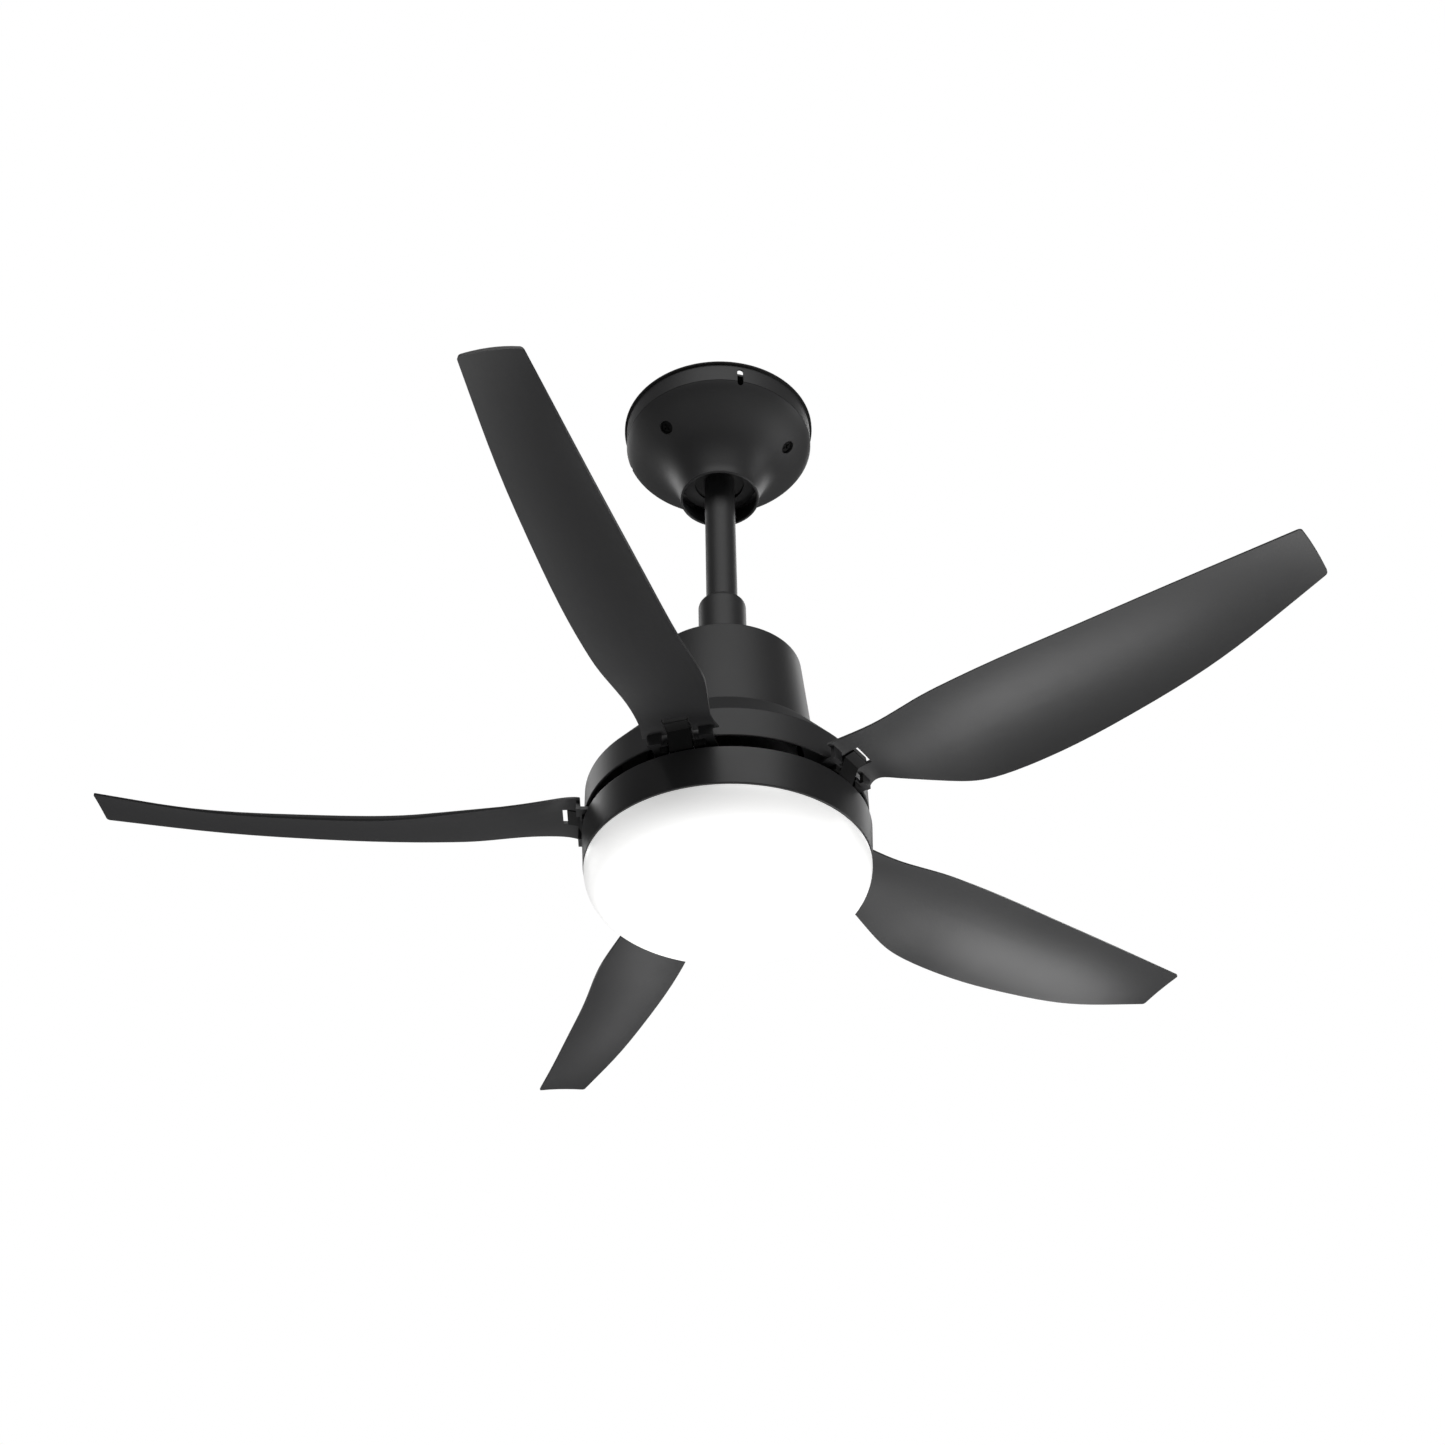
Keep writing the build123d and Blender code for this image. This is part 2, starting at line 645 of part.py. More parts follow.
with BuildPart() as board_capacitors:
    with Locations((0, 0, board_top - 1.6)):
        with PolarLocations(34, 3, start_angle=standoff_angles[0] + 60):
            Cylinder(8, 20, align=DOWN)
    fillet(board_capacitors.edges().group_by(Axis.Z)[0], 1.0)
save(board_capacitors, "board_capacitors")

# ---- Blade carrier, blades and latches ----------------------------------------
blade_angles = [FIRST_BLADE_ANGLE - BLADE_PITCH * k for k in range(BLADE_COUNT)]
carrier_low = CARRIER_TOP - CARRIER_THICK
arm_slot_width = LATCH_WIDTH + 2.4
latch_pin_r, latch_pin_z = LATCH_PIN_AT
stud_r, stud_side = STUD_AT

# The carrier and one arm along +X; the arms repeat round the axis.
with BuildPart() as blade_carrier:
    with BuildSketch(Plane.XY.offset(carrier_low)):
        Circle(CARRIER_RADIUS)
        with PolarLocations(0, BLADE_COUNT, start_angle=FIRST_BLADE_ANGLE):
            with Locations((ARM_REACH / 2, 0)):
                Rectangle(ARM_REACH, ARM_WIDTH + 2)
        Circle(14, mode=Mode.SUBTRACT)
        with PolarLocations(0, BLADE_COUNT, start_angle=FIRST_BLADE_ANGLE):
            with Locations((ARM_REACH, -LATCH_SHIFT)):
                Rectangle(2 * (ARM_REACH - ARM_SLOT_START), arm_slot_width, mode=Mode.SUBTRACT)
        with PolarLocations(75, BLADE_COUNT, start_angle=FIRST_BLADE_ANGLE + BLADE_PITCH / 2):
            Circle(9, mode=Mode.SUBTRACT)
    extrude(amount=CARRIER_THICK)
    with Locations((0, 0, CARRIER_TOP)):
        with PolarLocations(CARRIER_SCREW_RADIUS, BLADE_COUNT):
            Cylinder(2 + SKIN, CARRIER_THICK, align=DOWN, mode=Mode.SUBTRACT)
    with Locations((0, 0, carrier_low)):
        with PolarLocations(CARRIER_SCREW_RADIUS, BLADE_COUNT):
            Cylinder(4.2, 2.6, align=UP, mode=Mode.SUBTRACT)
    for angle in blade_angles:
        with Locations(Location((0, 0, 0), (0, 0, angle))):
            with Locations((stud_r, stud_side, CARRIER_TOP), (stud_r, -stud_side, CARRIER_TOP)):
                Cylinder(2.5 + SKIN, CARRIER_THICK, align=DOWN, mode=Mode.SUBTRACT)
            with Locations(Location((latch_pin_r, 0, latch_pin_z), (90, 0, 0))):
                Cylinder(LATCH_PIN_RADIUS + SKIN, 2 * ARM_WIDTH, mode=Mode.SUBTRACT)
save(blade_carrier, "blade_carrier")

with BuildPart() as carrier_screws:
    with Locations(Location((0, 0, carrier_low + 2.6), (180, 0, 0))):
        with PolarLocations(CARRIER_SCREW_RADIUS, BLADE_COUNT):
            add(screw(6.3, 2.0, 3.8, 2.2))
save(carrier_screws, "carrier_screws")

# Two headed studs on each arm hold the blade's foot down.
with BuildPart() as blade_studs:
    for angle in blade_angles:
        with Locations(Location((0, 0, 0), (0, 0, angle))):
            with Locations((stud_r, stud_side, CARRIER_TOP), (stud_r, -stud_side, CARRIER_TOP)):
                Cylinder(2.5, CARRIER_THICK - 0.5, align=DOWN)
                Cylinder(2.5, FOOT_THICK + SKIN, align=UP)
            with Locations(
                (stud_r, stud_side, CARRIER_TOP + FOOT_THICK + SKIN),
                (stud_r, -stud_side, CARRIER_TOP + FOOT_THICK + SKIN),
            ):
                Cylinder(4.2, 1.4, align=UP)
save(blade_studs, "blade_studs")

with BuildPart() as latch_pins:
    for angle in blade_angles:
        with Locations(Location((0, 0, 0), (0, 0, angle))):
            with Locations(Location((latch_pin_r, 0, latch_pin_z), (90, 0, 0))):
                Cylinder(LATCH_PIN_RADIUS, ARM_WIDTH)
save(latch_pins, "latch_pins")


def blade_value(rows, distance, pick):
    """Smooth value of one column of the blade's rows at a distance from the axis."""
    xs = [row[0] for row in rows]
    ys = [pick(row) for row in rows]
    last = len(xs) - 1
    i = max(k for k in range(last) if xs[k] <= distance)
    slopes = []
    for k in (i, i + 1):
        lower = max(k - 1, 0)
        upper = min(k + 1, last)
        slopes.append((ys[upper] - ys[lower]) / (xs[upper] - xs[lower]))
    span = xs[i + 1] - xs[i]
    t = (distance - xs[i]) / span
    start = ys[i] * (1 + 2 * t) * (1 - t) ** 2 + slopes[0] * span * t * (1 - t) ** 2
    end = ys[i + 1] * t**2 * (3 - 2 * t) - slopes[1] * span * t**2 * (1 - t)
    return start + end


def blade_station(distance):
    """Face of one blade section, hollow underneath, for a blade along +X."""
    plane = Plane(origin=(distance, 0, -DROP), x_dir=(0, -1, 0), z_dir=(-1, 0, 0))
    high = tuple(blade_value(BLADE_SECTIONS, distance, lambda row: row[1][n]) for n in (0, 1))
    low = tuple(blade_value(BLADE_SECTIONS, distance, lambda row: row[2][n]) for n in (0, 1))
    hollow = blade_value(BLADE_SECTIONS, distance, lambda row: row[3])
    chord = hypot(high[0] - low[0], high[1] - low[1])
    rise = ((low[1] - high[1]) / chord, (high[0] - low[0]) / chord)

    def point(fraction, lift):
        """Point at a fraction of the chord from the low edge, lifted square to it."""
        side = low[0] + fraction * (high[0] - low[0]) + lift * rise[0]
        height = low[1] + fraction * (high[1] - low[1]) + lift * rise[1]
        return side, height

    lower = [point(f, 4 * hollow * f * (1 - f)) for f in (0, 0.25, 0.5, 0.75, 1)]
    thick = BLADE_THICK - BLADE_EDGE
    upper = [
        point(f, 4 * (hollow + thick) * f * (1 - f) + BLADE_EDGE) for f in (1, 0.75, 0.5, 0.25, 0)
    ]
    with BuildSketch(plane) as station:
        with BuildLine():
            Spline(*lower)
            Line(lower[-1], upper[0])
            Spline(*upper)
            Line(upper[-1], lower[0])
        make_face()
    return station.sketch


def tip_corner(edge):
    """True for the two short edges at the corners of the blade's tip."""
    middle = edge.center()
    return edge.length < 2 * BLADE_THICK and hypot(middle.X, middle.Y) > SWEEP_RADIUS - 2


# The blade shell along +X: lofted, cut round at the tip, with its foot, the two
# ribs that join the foot to the shell, and the window for the latch.
blade_stations = [ROOT_RADIUS + (BLADE_SECTIONS[-1][0] - ROOT_RADIUS) * k / 18 for k in range(19)]
window_start = 108.0
window_end = 133.0
window_width = LATCH_WIDTH + 2 * LATCH_GAP
foot_low = CARRIER_TOP
with BuildPart() as blade_form:
    loft([blade_station(distance) for distance in blade_stations])
    with BuildSketch(Plane.XY.offset(-DROP)):
        Circle(SWEEP_RADIUS)
    extrude(amount=100, mode=Mode.INTERSECT)
    fillet(blade_form.edges().filter_by(tip_corner), BLADE_TIP_ROUND)
    with BuildSketch(Plane.XY.offset(foot_low)):
        with Locations((ROOT_RADIUS - 15, 0)):
            Rectangle(30, 50)
    extrude(amount=FOOT_THICK)
    with Locations((ROOT_RADIUS + 1.5, 20, foot_low), (ROOT_RADIUS + 1.5, -21.5, foot_low)):
        Box(3, 11, 52.5 - DROP - foot_low, align=UP)
    with Locations((0, -LATCH_SHIFT, foot_low - 1)):
        with Locations(((window_start + window_end) / 2, 0, 0)):
            Box(window_end - window_start, window_width, 30, align=UP, mode=Mode.SUBTRACT)
    with BuildSketch(Plane.XY.offset(foot_low)):
        for side in (stud_side, -stud_side):
            with Locations((stud_r - 4, side)):
                Rectangle(8 + 2 * 2.7, 5.4)
            with Locations((stud_r, side)):
                Circle(2.7)
    extrude(amount=FOOT_THICK, mode=Mode.SUBTRACT)

for k, angle in enumerate(blade_angles):
    with BuildPart() as blade:
        with Locations(Location((0, 0, 0), (0, 0, angle))):
            add(blade_form.part)
    save(blade, f"blade_{k + 1}")

# Spring latch in each arm: hinged on its pin, with a lip in the blade's window
# and a thin spring finger that bears on the arm's slot.
with BuildPart() as latch_form:
    tongue_z = latch_pin_z
    with BuildSketch(radial_plane(0)):
        with BuildLine():
            Polyline(
                (108.4, tongue_z - 1.7),
                (114.5, tongue_z - 1.7),
                (121.0, tongue_z + 12.6),
                (129.3, tongue_z + 14.2),
                (128.6, tongue_z + 20.5),
                (126.9, tongue_z + 20.5),
                (126.9, tongue_z + 16.0),
                (117.6, tongue_z + 16.0),
                (116.8, tongue_z + 7.0),
                (112.6, tongue_z + 2.6),
                (108.4, tongue_z + 1.9),
                close=True,
            )
        make_face()
    extrude(amount=LATCH_WIDTH / 2, both=True)
    fillet(latch_form.edges().group_by(Axis.X)[-1].filter_by(Axis.Y), 1.0)
    fillet(latch_form.edges().group_by(Axis.Z)[-1], 0.5)
    with Locations((108.6, 0, tongue_z - 0.4)):
        Box(8.5, 8, 0.8, align=(Align.MAX, Align.CENTER, Align.CENTER))
    with Locations(Location((latch_pin_r, 0, latch_pin_z), (90, 0, 0))):
        Cylinder(LATCH_PIN_RADIUS + RUNNING, 2 * LATCH_WIDTH, mode=Mode.SUBTRACT)

for k, angle in enumerate(blade_angles):
    with BuildPart() as latch:
        with Locations(Location((0, 0, 0), (0, 0, angle))):
            with Locations((0, -LATCH_SHIFT, 0)):
                add(latch_form.part)
    save(latch, f"latch_{k + 1}")

# ---- Light --------------------------------------------------------------------
# Ring housing: slightly wider at the top, closed over the light, with three
# catches inside its lower edge for the diffuser.
catch_angles = [20 + FASTENER_PITCH * k for k in range(3)]
catch_low = -DROP + 5.0
catch_high = -DROP + 7.6
lug_low = catch_high + CLEAR
lug_high = lug_low + 2.4


def lug_ring(inner, outer, low, high, span):
    """Three lugs round the axis, each spanning an angle in degrees."""
    with BuildPart() as lugs:
        with BuildSketch(Plane.XY.offset(low)):
            for angle in catch_angles:
                start = radians(angle - span / 2)
                end = radians(angle + span / 2)
                with BuildLine():
                    Polyline(
                        (0, 0),
                        (2 * outer * cos(start), 2 * outer * sin(start)),
                        (2 * outer * cos(end), 2 * outer * sin(end)),
                        close=True,
                    )
                make_face()
            Circle(outer, mode=Mode.INTERSECT)
            Circle(inner, mode=Mode.SUBTRACT)
        extrude(amount=high - low)
    return lugs.part


with BuildPart() as light_ring:
    add(
        turned(
            [
                (HUB_RADIUS - RING_WALL, -DROP),
                (HUB_RADIUS, -DROP),
                (RING_TOP_RADIUS, RING_TOP),
                (SHAFT_RADIUS + SKIN, RING_TOP),
                (SHAFT_RADIUS + SKIN, RING_TOP - RING_WALL),
                (RING_TOP_RADIUS - RING_WALL, RING_TOP - RING_WALL),
            ],
            rounds=[(0, 0.6), (1, 0.8), (2, 1.2)],
        )
    )
    add(lug_ring(DIFFUSER_NECK + CLEAR, HUB_RADIUS - RING_WALL + 1, catch_low, catch_high, 14))
save(light_ring, "light_ring")

with BuildPart() as shaft_washer:
    add(tube(SHAFT_RADIUS + SKIN, 13.4, RING_TOP, RING_TOP + 1.4))
save(shaft_washer, "shaft_washer")

with BuildPart() as shaft_nut:
    with BuildSketch(Plane.XY.offset(RING_TOP - RING_WALL)):
        RegularPolygon(16, 6)
        Circle(SHAFT_RADIUS + RUNNING, mode=Mode.SUBTRACT)
    extrude(amount=-7)
save(shaft_nut, "shaft_nut")

led_board_top = LED_BOARD_Z + 1.6
with BuildPart() as led_standoffs:
    with Locations((0, 0, led_board_top)):
        with PolarLocations(88, 4, start_angle=45):
            Cylinder(3.5, RING_TOP - RING_WALL - led_board_top, align=UP)
save(led_standoffs, "led_standoffs")

with BuildPart() as led_board:
    add(tube(20, 98, LED_BOARD_Z, led_board_top))
save(led_board, "led_board")

with BuildPart() as led_chips:
    with Locations((0, 0, LED_BOARD_Z)):
        for radius, count in ((34, 8), (60, 16), (86, 24)):
            with PolarLocations(radius, count):
                Box(3.5, 3.5, 0.8, align=DOWN)
save(led_chips, "led_chips")

with BuildPart() as led_driver:
    with Locations((0, 56, RING_TOP - RING_WALL)):
        Box(70, 32, 9, align=DOWN)
    fillet(led_driver.edges().filter_by(Axis.Z), 2)
save(led_driver, "led_driver")

# Opal diffuser: neck inside the ring, small step under it, rounded bowl.
bowl_top = -DROP - DIFFUSER_GAP
bowl_low = -DROP - BOWL_DEPTH
corner_centre = (DIFFUSER_RADIUS - DIFFUSER_CORNER, bowl_low + DIFFUSER_CORNER)
with BuildPart() as diffuser:
    with BuildSketch(Plane.XZ):
        for shrink in (0, DIFFUSER_WALL):
            corner = DIFFUSER_CORNER - shrink
            slant = corner * cos(radians(45))
            wall_r = corner_centre[0] + corner
            flat_z = corner_centre[1] - corner
            centre_z = flat_z - DIFFUSER_SAG
            with BuildLine():
                l1 = Line((0, bowl_top), (wall_r, bowl_top))
                l2 = Line((wall_r, bowl_top), (wall_r, corner_centre[1]))
                l3 = ThreePointArc(
                    (wall_r, corner_centre[1]),
                    (corner_centre[0] + slant, corner_centre[1] - slant),
                    (corner_centre[0], flat_z),
                )
                l4 = Spline(
                    (corner_centre[0], flat_z),
                    (0, centre_z),
                    tangents=[(-1, 0), (-1, 0)],
                )
                l5 = Line((0, centre_z), (0, bowl_top))
            make_face(mode=Mode.ADD if shrink == 0 else Mode.SUBTRACT)
    revolve(axis=Axis.Z)
    add(tube(DIFFUSER_NECK - DIFFUSER_WALL, DIFFUSER_NECK, bowl_top - 2, lug_high))
    add(tube(DIFFUSER_NECK - DIFFUSER_WALL, DIFFUSER_RADIUS - 1, bowl_top - 2, bowl_top))
    add(lug_ring(DIFFUSER_NECK - 1, DIFFUSER_NECK + 1.4, lug_low, lug_high, 12))
save(diffuser, "diffuser")
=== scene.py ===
import json
from math import cos, radians, sin

import bpy
from mathutils import Matrix, Vector


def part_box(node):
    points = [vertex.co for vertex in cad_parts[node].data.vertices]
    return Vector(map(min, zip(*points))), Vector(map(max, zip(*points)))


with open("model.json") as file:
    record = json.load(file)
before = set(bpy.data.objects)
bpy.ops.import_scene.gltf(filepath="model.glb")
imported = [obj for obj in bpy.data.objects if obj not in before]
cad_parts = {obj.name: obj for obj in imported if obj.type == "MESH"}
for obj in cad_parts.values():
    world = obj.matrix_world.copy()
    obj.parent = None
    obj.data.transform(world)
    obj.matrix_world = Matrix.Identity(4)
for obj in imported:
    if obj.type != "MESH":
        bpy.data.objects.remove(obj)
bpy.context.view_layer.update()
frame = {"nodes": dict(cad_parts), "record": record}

scene = bpy.context.scene

# ---- Sizes and places, in metres ----------------------------------------------
AXIS_UP = Vector((0, 0, 1))
RING_EDGE_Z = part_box("light_ring")[0][2]
HUB_Z = -0.42                    # height that the softboxes are aimed at

# Camera: distance from the ring's centre and the angle below it, then three small turns
CAMERA_DISTANCE = 1.6335
CAMERA_BELOW = 34.285
CAMERA_TURNS = (("up", 0.062), ("right", 4.102), ("forward", 1.267))
CAMERA_LENS = 51.005
CAMERA_SENSOR = 36.0
CAMERA_CLIP = (0.05, 60)

# Floor and lights
FLOOR_Z = -2.4
FLOOR_SIZE = 4.0
FLOOR_GLOW = 0.36
WORLD_SEEN = 1.0                 # brightness of the surround to the camera
WORLD_FILL = 0.08                # and to everything else
LOW_SPREAD = 110                 # boxes below the hub, kept off the floor
FULL_SPREAD = 180
SOFTBOXES = [                    # name, place, width and height, watts
    ("under_right", (1.6, 0.8, -1.95), (1.1, 1.1), 8),
    ("under_middle", (-0.1, 0.45, -2.25), (0.8, 0.8), 4),
    ("side_left", (-2.0, 1.1, -0.15), (0.8, 1.2), 5),
    ("side_right", (2.1, 0.1, -0.1), (0.6, 1.2), 6),
    ("high_left", (-1.5, 1.2, 0.9), (0.8, 0.8), 8),
    ("high_right", (1.2, 1.5, 1.3), (0.9, 0.9), 8),
    ("high_front", (0.1, -1.7, 0.95), (2.8, 1.2), 24),
    ("low_back", (0.5, 2.2, -1.3), (0.9, 0.7), 1),
]

# Lens glow: it starts weak beside the ring and is full lower down
GLOW_START_Z = -0.499
GLOW_FULL_Z = -0.532
GLOW_WEAK = 0.42
GLOW_FULL = 0.55

RAMP_ENDS = (0.3, 0.7)           # part of a noise's range that a colour ramp covers


# ---- Camera, lights and floor -------------------------------------------------
def make_camera():
    """Camera under the fan and in front of it, looking up at the light."""
    below = radians(CAMERA_BELOW)
    centre = Vector((0, 0, RING_EDGE_Z))
    place = centre + CAMERA_DISTANCE * Vector((0, -cos(below), -sin(below)))
    forward = (centre - place).normalized()
    right = forward.cross(AXIS_UP).normalized()
    up = right.cross(forward)
    for axis, angle in CAMERA_TURNS:
        pivot = {"up": up, "right": right, "forward": forward}[axis]
        turn = Matrix.Rotation(radians(angle), 3, pivot)
        forward, right, up = turn @ forward, turn @ right, turn @ up
    data = bpy.data.cameras.new("camera")
    data.sensor_width = CAMERA_SENSOR
    data.lens = CAMERA_LENS
    data.clip_start, data.clip_end = CAMERA_CLIP
    camera = bpy.data.objects.new("camera", data)
    turn = Matrix((right, up, -forward)).transposed()
    camera.matrix_world = Matrix.Translation(place) @ turn.to_4x4()
    scene.collection.objects.link(camera)
    scene.camera = camera


def area_light(name, place, target, size, power, spread):
    """Soft rectangular light aimed at a point."""
    data = bpy.data.lights.new(name, "AREA")
    data.shape = "RECTANGLE"
    data.size, data.size_y = size
    data.energy = power
    data.spread = radians(spread)
    light = bpy.data.objects.new(name, data)
    aim = (Vector(target) - Vector(place)).normalized()
    turn = aim.to_track_quat("-Z", "Y").to_matrix().to_4x4()
    light.matrix_world = Matrix.Translation(place) @ turn
    scene.collection.objects.link(light)


def make_stage():
    """Pale floor well under the fan, a white surround and soft studio lights."""
    bpy.ops.mesh.primitive_plane_add(size=FLOOR_SIZE, location=(0, 0, FLOOR_Z))
    floor = bpy.context.object
    floor.name = "floor"
    floor.data.materials.append(floor_paint())

    world = bpy.data.worlds.new("studio")
    world.use_nodes = True
    scene.world = world
    nodes, links = world.node_tree.nodes, world.node_tree.links
    nodes.clear()
    seen = nodes.new("ShaderNodeBackground")
    fill = nodes.new("ShaderNodeBackground")
    for node, strength in ((seen, WORLD_SEEN), (fill, WORLD_FILL)):
        node.inputs["Color"].default_value = (1, 1, 1, 1)
        node.inputs["Strength"].default_value = strength
    path = nodes.new("ShaderNodeLightPath")
    mix = nodes.new("ShaderNodeMixShader")
    out = nodes.new("ShaderNodeOutputWorld")
    links.new(path.outputs["Is Camera Ray"], mix.inputs["Fac"])
    links.new(fill.outputs["Background"], mix.inputs[1])
    links.new(seen.outputs["Background"], mix.inputs[2])
    links.new(mix.outputs["Shader"], out.inputs["Surface"])

    target = (0, 0, HUB_Z)
    for name, place, size, power in SOFTBOXES:
        spread = LOW_SPREAD if place[2] < HUB_Z else FULL_SPREAD
        area_light(name, place, target, size, power, spread)
    scene.view_settings.view_transform = "Standard"
    scene.view_settings.look = "None"


# ---- Materials ----------------------------------------------------------------
class Paint:
    """A node material with a Principled shader and helpers for procedural detail."""

    def __init__(self, name):
        self.material = bpy.data.materials.new(name)
        self.material.use_nodes = True
        self.tree = self.material.node_tree
        self.shader = self.tree.nodes["Principled BSDF"]
        self.place = self.tree.nodes.new("ShaderNodeTexCoord")

    def set(self, **values):
        for key, value in values.items():
            self.shader.inputs[key.replace("_", " ")].default_value = value

    def node(self, kind, **values):
        made = self.tree.nodes.new(kind)
        for key, value in values.items():
            made.inputs[key].default_value = value
        return made

    def link(self, start, end):
        self.tree.links.new(start, end)

    def noise(self, scale, detail=4.0, rough=0.6, stretch=None):
        made = self.node("ShaderNodeTexNoise", Scale=scale, Detail=detail, Roughness=rough)
        source = self.place.outputs["Object"]
        if stretch:
            mapping = self.node("ShaderNodeMapping", Scale=stretch)
            self.link(source, mapping.inputs["Vector"])
            source = mapping.outputs["Vector"]
        self.link(source, made.inputs["Vector"])
        return made.outputs["Fac"]

    def ramp(self, value, low, high):
        """Colour between two shades, spread over the middle of a noise's range."""
        made = self.tree.nodes.new("ShaderNodeValToRGB")
        first, second = made.color_ramp.elements
        first.position, second.position = RAMP_ENDS
        first.color = (*low, 1)
        second.color = (*high, 1)
        self.link(value, made.inputs["Fac"])
        return made.outputs["Color"]

    def span(self, value, low, high):
        made = self.node("ShaderNodeMapRange")
        made.inputs["To Min"].default_value = low
        made.inputs["To Max"].default_value = high
        self.link(value, made.inputs["Value"])
        return made.outputs["Result"]

    def colour(self, value):
        self.link(value, self.shader.inputs["Base Color"])

    def roughness(self, value):
        self.link(value, self.shader.inputs["Roughness"])

    def bump(self, height, strength, distance, after=None):
        made = self.node("ShaderNodeBump", Strength=strength, Distance=distance)
        self.link(height, made.inputs["Height"])
        if after:
            self.link(after, made.inputs["Normal"])
        self.link(made.outputs["Normal"], self.shader.inputs["Normal"])
        return made.outputs["Normal"]


def shade(colour, factor):
    return tuple(c * factor for c in colour)


def plain_paint(name, colour, rough, grain, depth, metallic=0.0):
    """Matt or satin coat with slight colour drift, uneven gloss and a fine grain."""
    paint = Paint(name)
    paint.set(Metallic=metallic)
    drift = paint.noise(grain * 0.12, 3.0)
    paint.colour(paint.ramp(drift, shade(colour, 0.9), shade(colour, 1.1)))
    patch = paint.noise(grain * 0.3, 4.0)
    paint.roughness(paint.span(patch, rough - 0.05, rough + 0.05))
    fine = paint.noise(grain * 10, 3.0)
    paint.bump(fine, depth, 0.0004)
    return paint.material


def floor_paint():
    """Pale matt floor with a very faint unevenness and a little light of its own."""
    paint = Paint("floor_paint")
    cloud = paint.noise(0.8, 2.0)
    paint.colour(paint.ramp(cloud, (0.84, 0.84, 0.835), (0.88, 0.88, 0.875)))
    paint.set(Roughness=0.8, Emission_Color=(1, 1, 1, 1), Emission_Strength=FLOOR_GLOW)
    grain = paint.noise(60.0, 3.0)
    paint.bump(grain, 0.02, 0.0005)
    return paint.material


def satin_black(name, colour, rough, texture_scale, texture_depth, specular=0.5):
    """Powder coat or moulded plastic: slight colour drift, uneven gloss, orange-peel texture."""
    paint = Paint(name)
    paint.set(Specular_IOR_Level=specular)
    drift = paint.noise(6.0, 4.0)
    paint.colour(paint.ramp(drift, shade(colour, 0.92), shade(colour, 1.08)))
    patch = paint.noise(18.0, 5.0)
    paint.roughness(paint.span(patch, rough - 0.03, rough + 0.04))
    peel = paint.noise(texture_scale * 0.25, 2.0, 0.4)
    fine = paint.noise(texture_scale, 3.0, 0.5)
    first = paint.bump(peel, texture_depth * 0.6, 0.0006)
    paint.bump(fine, texture_depth, 0.0002, after=first)
    return paint.material


def bare_metal(name, colour, rough, brush):
    """Plated or ground metal with faint brushing marks and tarnish."""
    paint = Paint(name)
    paint.set(Metallic=1.0)
    marks = paint.noise(220.0, 5.0, 0.6, stretch=brush)
    paint.colour(paint.ramp(marks, shade(colour, 0.82), colour))
    cloud = paint.noise(30.0, 4.0)
    paint.roughness(paint.span(cloud, rough - 0.07, rough + 0.09))
    paint.bump(marks, 0.12, 0.0002)
    return paint.material


def opal_glow():
    """Opal lens lit from inside: white glow, weaker near the ring."""
    paint = Paint("opal_lens")
    paint.set(Roughness=0.3, IOR=1.49)
    cloud = paint.noise(3.0, 2.0)
    paint.colour(paint.ramp(cloud, (0.86, 0.86, 0.855), (0.9, 0.9, 0.895)))
    fine = paint.noise(900.0, 2.0)
    paint.bump(fine, 0.05, 0.0001)
    split = paint.node("ShaderNodeSeparateXYZ")
    paint.link(paint.place.outputs["Object"], split.inputs["Vector"])
    glow = paint.node("ShaderNodeMapRange")
    glow.interpolation_type = "SMOOTHSTEP"
    glow.inputs["From Min"].default_value = GLOW_START_Z
    glow.inputs["From Max"].default_value = GLOW_FULL_Z
    glow.inputs["To Min"].default_value = GLOW_WEAK
    glow.inputs["To Max"].default_value = GLOW_FULL
    paint.link(split.outputs["Z"], glow.inputs["Value"])
    paint.link(glow.outputs["Result"], paint.shader.inputs["Emission Strength"])
    paint.set(Emission_Color=(1.0, 0.998, 0.992, 1))
    return paint.material


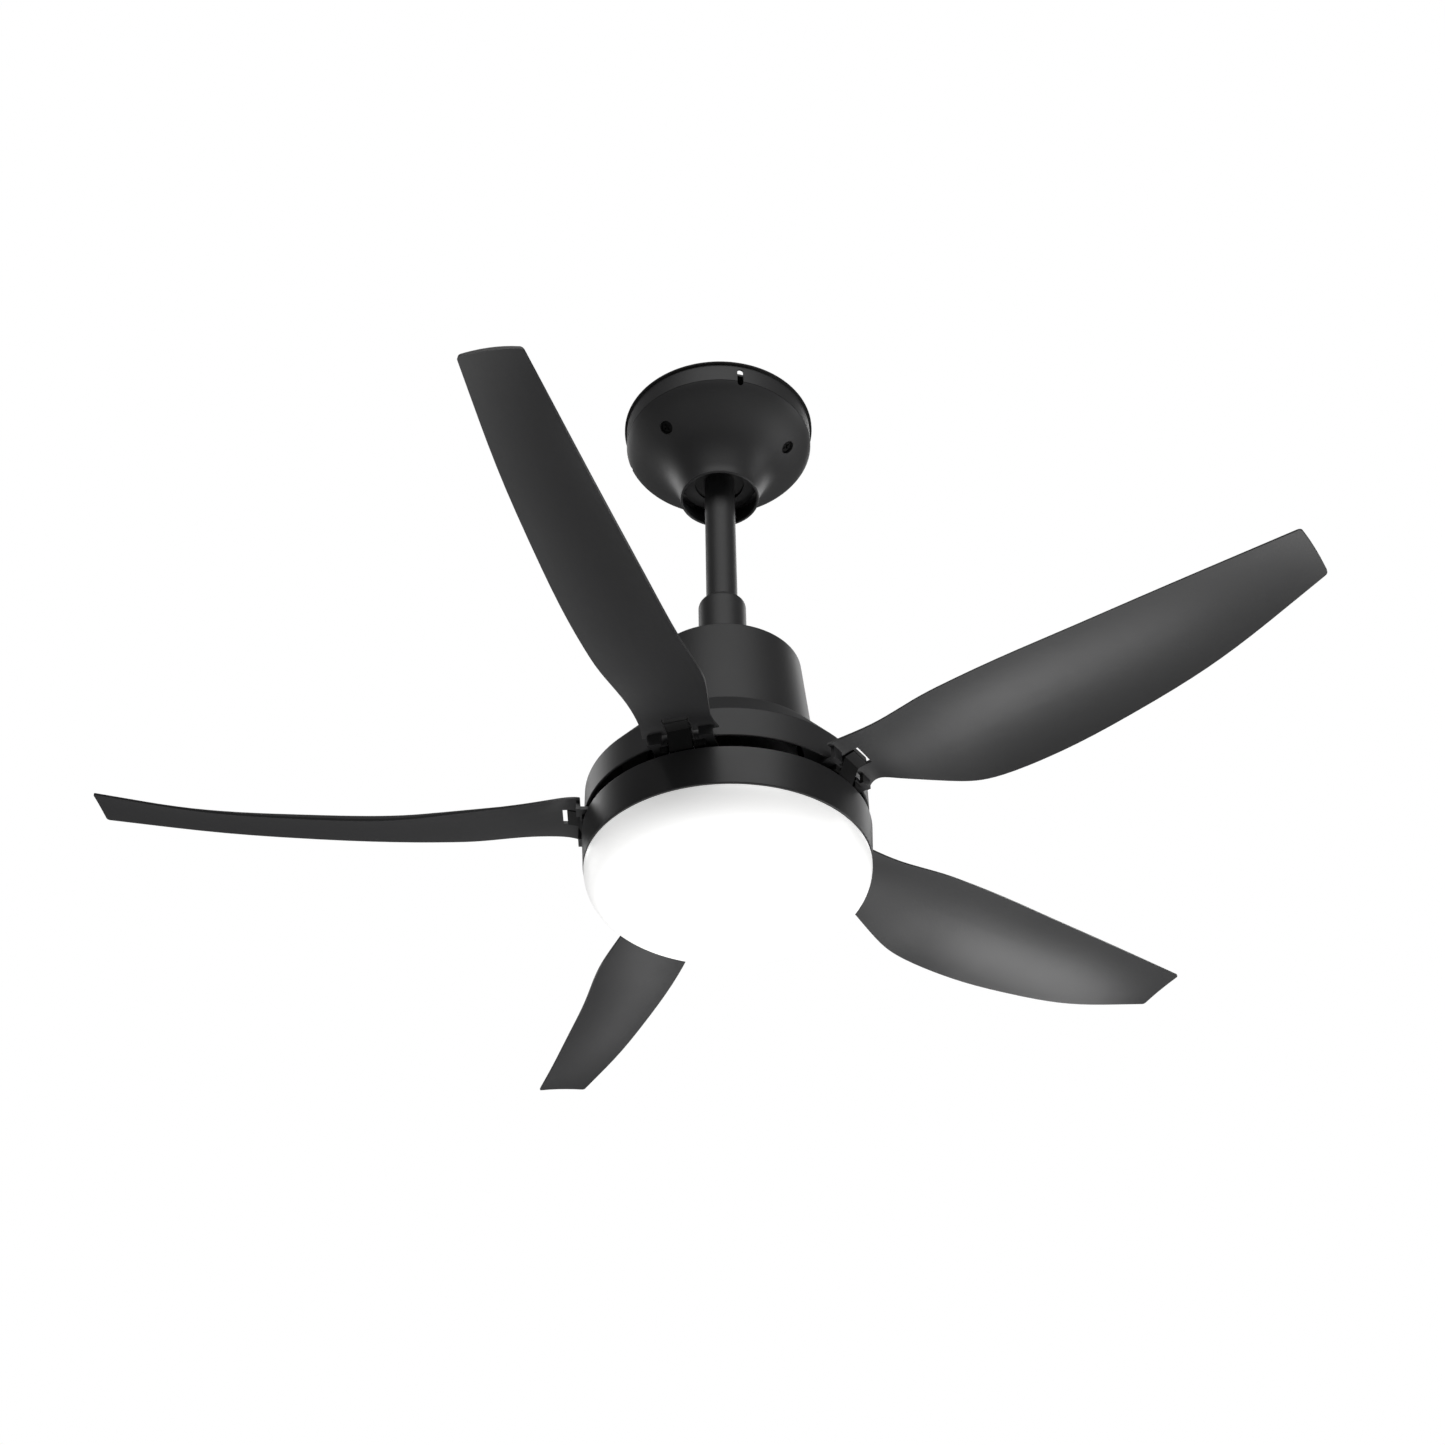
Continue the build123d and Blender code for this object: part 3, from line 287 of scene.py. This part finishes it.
def make_materials():
    """One procedural material for each material slot of the record."""
    return {
        "satin_black_metal": satin_black(
            "charcoal_powder_coat", (0.032, 0.032, 0.033), 0.5, 900.0, 0.10),
        "satin_black_plastic": satin_black(
            "charcoal_plastic", (0.027, 0.027, 0.028), 0.40, 1400.0, 0.08),
        # latch plastic: near-black like the real latches, and darkened further as painted shade
        # for the recess between the blade roots and the ring
        "latch_plastic": satin_black(
            "latch_plastic", (0.007, 0.007, 0.0072), 0.6, 1200.0, 0.10, 0.3),
        "black_screw": satin_black(
            "black_oxide", (0.003, 0.003, 0.003), 0.6, 1600.0, 0.12, 0.2),
        "gasket_foam": plain_paint("gasket_foam", (0.010, 0.010, 0.010), 0.85, 160, 0.2),
        "zinc_steel": bare_metal("zinc_plate", (0.62, 0.63, 0.65), 0.32, (1, 1, 0.1)),
        "earth_brass": bare_metal("earth_brass", (0.55, 0.5, 0.2), 0.3, (1, 1, 1)),
        "shaft_steel": bare_metal("ground_steel", (0.55, 0.55, 0.57), 0.25, (1, 1, 0.05)),
        "nylon": plain_paint("nylon", (0.78, 0.77, 0.73), 0.45, 60, 0.05),
        # hanger ball and liner: a black copy of the nylon, as painted shade for the dark inside
        # of the canopy's hole; the terminal block keeps the white nylon
        "black_nylon": plain_paint("black_nylon", (0.008, 0.008, 0.008), 0.5, 90, 0.1),
        "cast_grey": plain_paint("cast_grey", (0.22, 0.22, 0.23), 0.6, 120, 0.5, 0.6),
        "rotor_aluminium": plain_paint("die_cast", (0.6, 0.6, 0.62), 0.42, 140, 0.3, 1.0),
        # blade carrier: black coat, darkened further as painted shade for the recess between the
        # blade roots and the ring
        "carrier_black": satin_black(
            "carrier_coat_painted_shade", (0.006, 0.006, 0.006), 0.55, 1000.0, 0.2, 0.3),
        "lamination_steel": bare_metal("laminations", (0.35, 0.35, 0.37), 0.4, (0.02, 0.02, 4)),
        "copper_winding": bare_metal("copper_winding", (0.72, 0.33, 0.16), 0.3, (1, 1, 3)),
        "ferrite": plain_paint("ferrite", (0.08, 0.08, 0.085), 0.5, 100, 0.2),
        "circuit_board": plain_paint("solder_mask", (0.03, 0.2, 0.08), 0.35, 90, 0.1),
        "capacitor_sleeve": plain_paint("capacitor_sleeve", (0.03, 0.035, 0.08), 0.3, 80, 0.05),
        "receiver_plastic": satin_black("receiver_plastic", (0.04, 0.04, 0.042), 0.5, 900.0, 0.2),
        "led_board_white": plain_paint("board_white", (0.85, 0.85, 0.83), 0.4, 80, 0.05),
        "led_phosphor": plain_paint("phosphor", (0.85, 0.65, 0.15), 0.3, 200, 0.1),
        "driver_case": plain_paint("driver_case", (0.8, 0.8, 0.78), 0.45, 90, 0.1),
        "opal_diffuser": opal_glow(),
    }


materials = make_materials()
slot_of = {row["node"]: row["material_slot"] for row in frame["record"]["subparts"]}


def dress_cad_nodes():
    """Give every CAD node the procedural material of its slot."""
    for name, node in frame["nodes"].items():
        node.data.materials.clear()
        node.data.materials.append(materials[slot_of[name]])


dress_cad_nodes()
make_camera()
make_stage()
